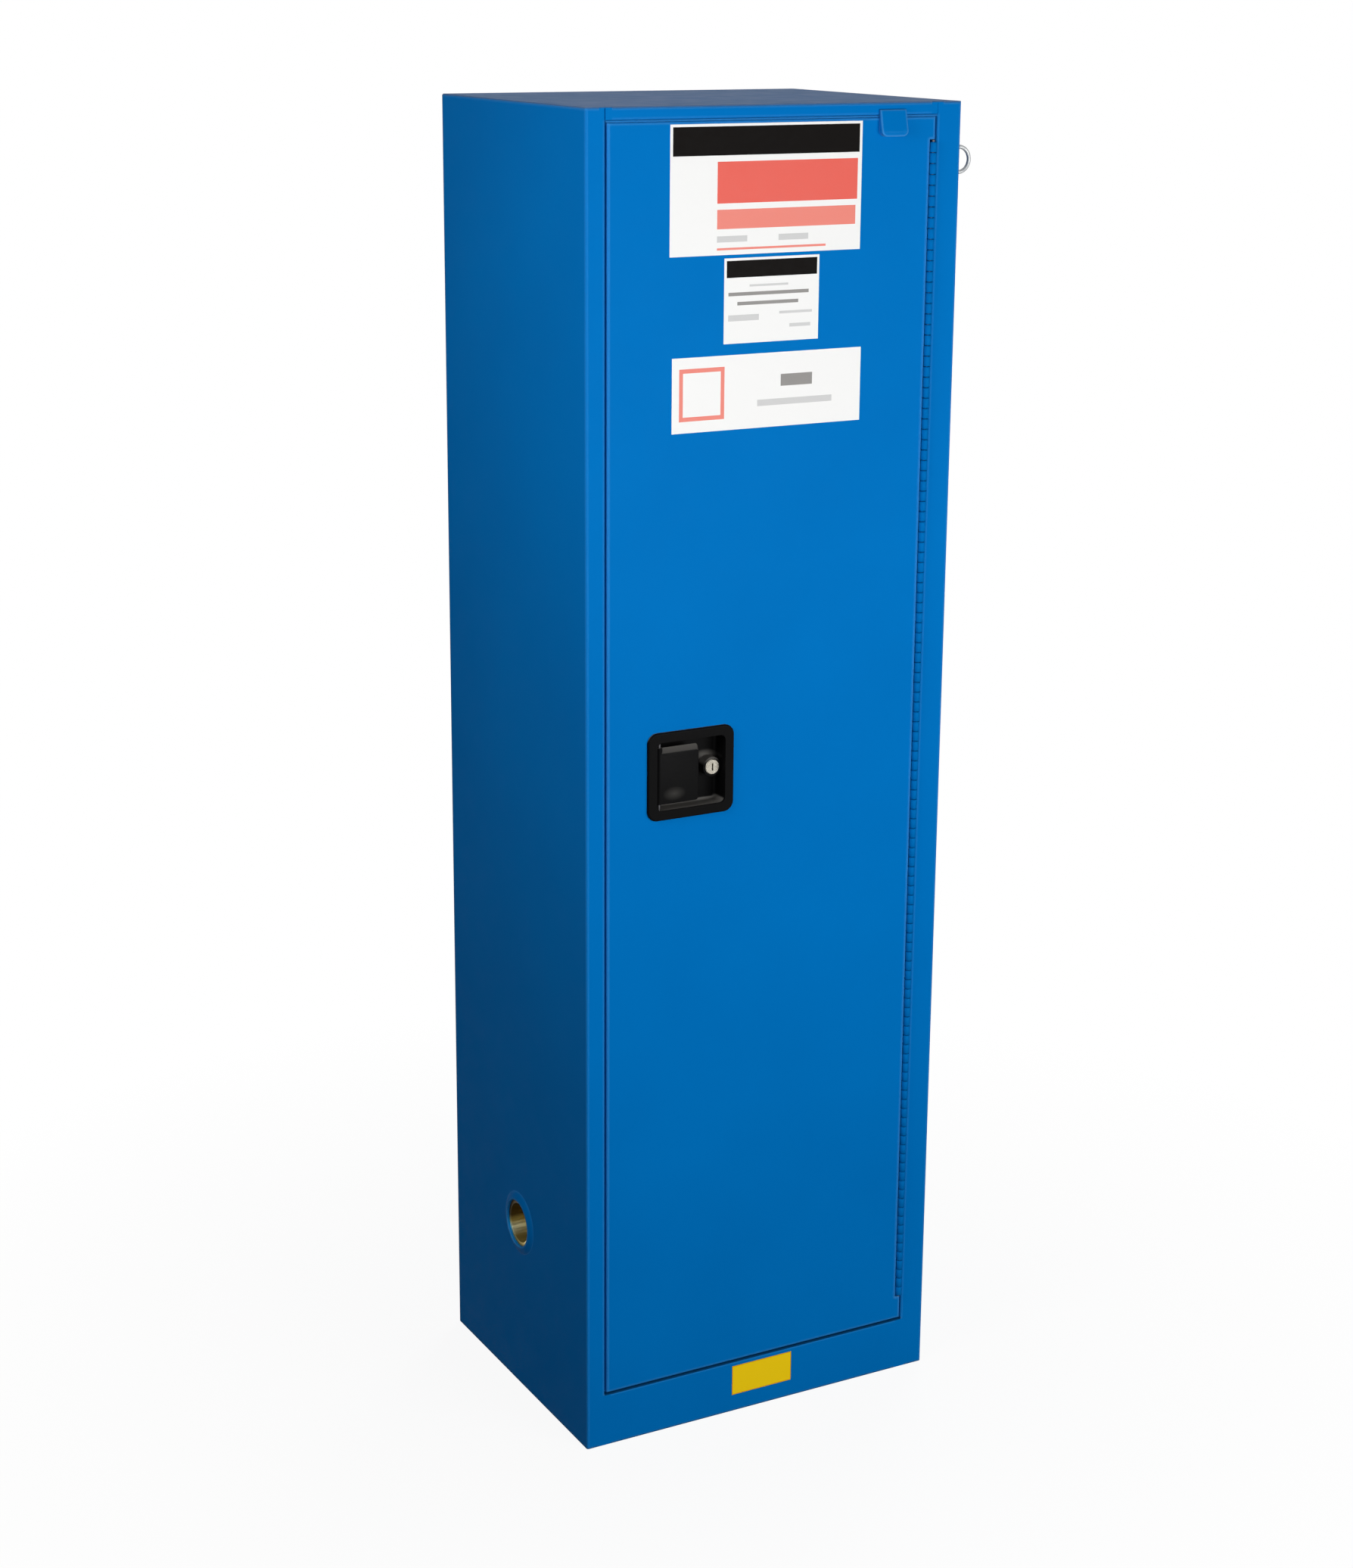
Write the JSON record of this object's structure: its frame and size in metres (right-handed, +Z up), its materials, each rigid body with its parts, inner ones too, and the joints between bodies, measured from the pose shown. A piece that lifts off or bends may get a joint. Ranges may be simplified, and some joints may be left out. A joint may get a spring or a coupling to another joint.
{
  "type": "flammable safety cabinet",
  "caption": "Slim upright safety cabinet with double steel walls, one hinged door with a flush paddle handle, a three-point latch, liftable shelves and side vents.",
  "frame": {"origin": "on the floor, under the middle of the case, in the plane of the base pan's lower edge", "axes": "+X to the hinge side, -Y out of the door, +Z up"},
  "size_m": [0.5452, 0.3985, 1.651],
  "materials": {
    "case_paint": "semi-gloss blue powder coat",
    "zinc_steel": "zinc plated",
    "galvanised_steel": "galvanised",
    "vent_brass": "turned",
    "black_moulding": "fine grain",
    "black_casting": "black coat on a die casting",
    "lock_chrome": "polished",
    "foot_steel": "zinc plated"
  },
  "bodies": {
    "cabinet": {"outer_left_side": "case_paint", "outer_right_side": "case_paint", "outer_back": "case_paint", "outer_top": "case_paint", "front_top_rail": "case_paint", "front_sill_rail": "case_paint", "base_pan": "case_paint", "foot_nuts": "zinc_steel", "liner_left_side": "case_paint", "liner_right_side": "case_paint", "liner_back": "case_paint", "liner_top": "case_paint", "sump_pan": "case_paint", "shelf_standards": "galvanised_steel", "shelf_clips": "galvanised_steel", "hold_open_eye": "zinc_steel", "hold_open_eye_nuts": "zinc_steel", "ground_stud": "zinc_steel", "ground_nuts": "zinc_steel", "top_strike": "zinc_steel", "bottom_strike": "zinc_steel", "side_strike": "zinc_steel", "hinge_frame_leaf": "case_paint", "hinge_pin": "zinc_steel", "lower_vent_bush": "vent_brass", "lower_flame_arrester": "vent_brass", "upper_vent_bush": "vent_brass", "upper_flame_arrester": "vent_brass"},
    "door": {"hinge_door_leaf": "case_paint", "door_outer_skin": "case_paint", "door_inner_skin": "case_paint", "hold_open_catch": "case_paint", "handle_bezel": "black_moulding", "handle_clamp": "zinc_steel", "handle_screws": "zinc_steel", "paddle_pin": "zinc_steel", "paddle_spring": "zinc_steel", "latch_cam_post": "zinc_steel", "rod_guides": "zinc_steel", "bolt_guide": "zinc_steel"},
    "paddle": {"paddle": "black_casting"},
    "lock": {"lock_cylinder": "lock_chrome", "lock_cam": "zinc_steel"},
    "latch_cam": {"latch_cam": "zinc_steel"},
    "top_latch": {"top_rod": "zinc_steel", "top_bullet": "zinc_steel"},
    "bottom_latch": {"bottom_rod": "zinc_steel", "bottom_bullet": "zinc_steel"},
    "side_latch": {"side_bolt": "zinc_steel"},
    "bottom_shelf": {"bottom_shelf": "galvanised_steel"},
    "middle_shelf": {"middle_shelf": "galvanised_steel"},
    "top_shelf": {"top_shelf": "galvanised_steel"},
    "front_left_foot": {"front_left_foot": "foot_steel"},
    "front_right_foot": {"front_right_foot": "foot_steel"},
    "rear_left_foot": {"rear_left_foot": "foot_steel"},
    "rear_right_foot": {"rear_right_foot": "foot_steel"}
  },
  "joints": [
    {"name": "door_swing", "type": "hinge", "parent": "cabinet", "child": "door", "pos_m": [0.2109, -0.1955, 0.8], "axis": [0, 0, 1], "range_deg": [0, 160]},
    {"name": "paddle_pull", "type": "hinge", "parent": "door", "child": "paddle", "pos_m": [-0.152, -0.193, 0.869], "axis": [0, 0, -1], "range_deg": [0, 35]},
    {"name": "lock_turn", "type": "hinge", "parent": "door", "child": "lock", "pos_m": [-0.077, -0.1955, 0.87], "axis": [0, 1, 0], "range_deg": [0, 90]},
    {"name": "cam_turn", "type": "hinge", "parent": "door", "child": "latch_cam", "pos_m": [-0.14555, -0.1705, 0.88308], "axis": [0, -1, 0], "range_deg": [0, 30.5]},
    {"name": "top_rod_slide", "type": "slide", "parent": "door", "child": "top_latch", "axis": [0, 0, -1], "range_m": [0, 0.0093], "stiffness_N_per_m": 200, "springref_m": -0.015},
    {"name": "bottom_rod_slide", "type": "slide", "parent": "door", "child": "bottom_latch", "axis": [0, 0, 1], "range_m": [0, 0.0095]},
    {"name": "side_bolt_slide", "type": "slide", "parent": "door", "child": "side_latch", "axis": [1, 0, 0], "range_m": [0, 0.0132]},
    {"name": "bottom_shelf_lift", "type": "slide", "parent": "cabinet", "child": "bottom_shelf", "axis": [0, 0, 1], "range_m": [0, 0.025]},
    {"name": "middle_shelf_lift", "type": "slide", "parent": "cabinet", "child": "middle_shelf", "axis": [0, 0, 1], "range_m": [0, 0.025]},
    {"name": "top_shelf_lift", "type": "slide", "parent": "cabinet", "child": "top_shelf", "axis": [0, 0, 1], "range_m": [0, 0.025]},
    {"name": "front_left_foot_screw", "type": "slide", "parent": "cabinet", "child": "front_left_foot", "axis": [0, 0, -1], "range_m": [0, 0.018]},
    {"name": "front_right_foot_screw", "type": "slide", "parent": "cabinet", "child": "front_right_foot", "axis": [0, 0, -1], "range_m": [0, 0.018]},
    {"name": "rear_left_foot_screw", "type": "slide", "parent": "cabinet", "child": "rear_left_foot", "axis": [0, 0, -1], "range_m": [0, 0.018]},
    {"name": "rear_right_foot_screw", "type": "slide", "parent": "cabinet", "child": "rear_right_foot", "axis": [0, 0, -1], "range_m": [0, 0.018]}
  ],
  "couplings": [
    {"joint": "paddle_pull", "follows": "top_rod_slide", "rad_per_m": 65.561},
    {"joint": "cam_turn", "follows": "top_rod_slide", "rad_per_m": 56.195},
    {"joint": "bottom_rod_slide", "follows": "top_rod_slide", "ratio": 1},
    {"joint": "side_bolt_slide", "follows": "top_rod_slide", "ratio": 1.3851}
  ]
}
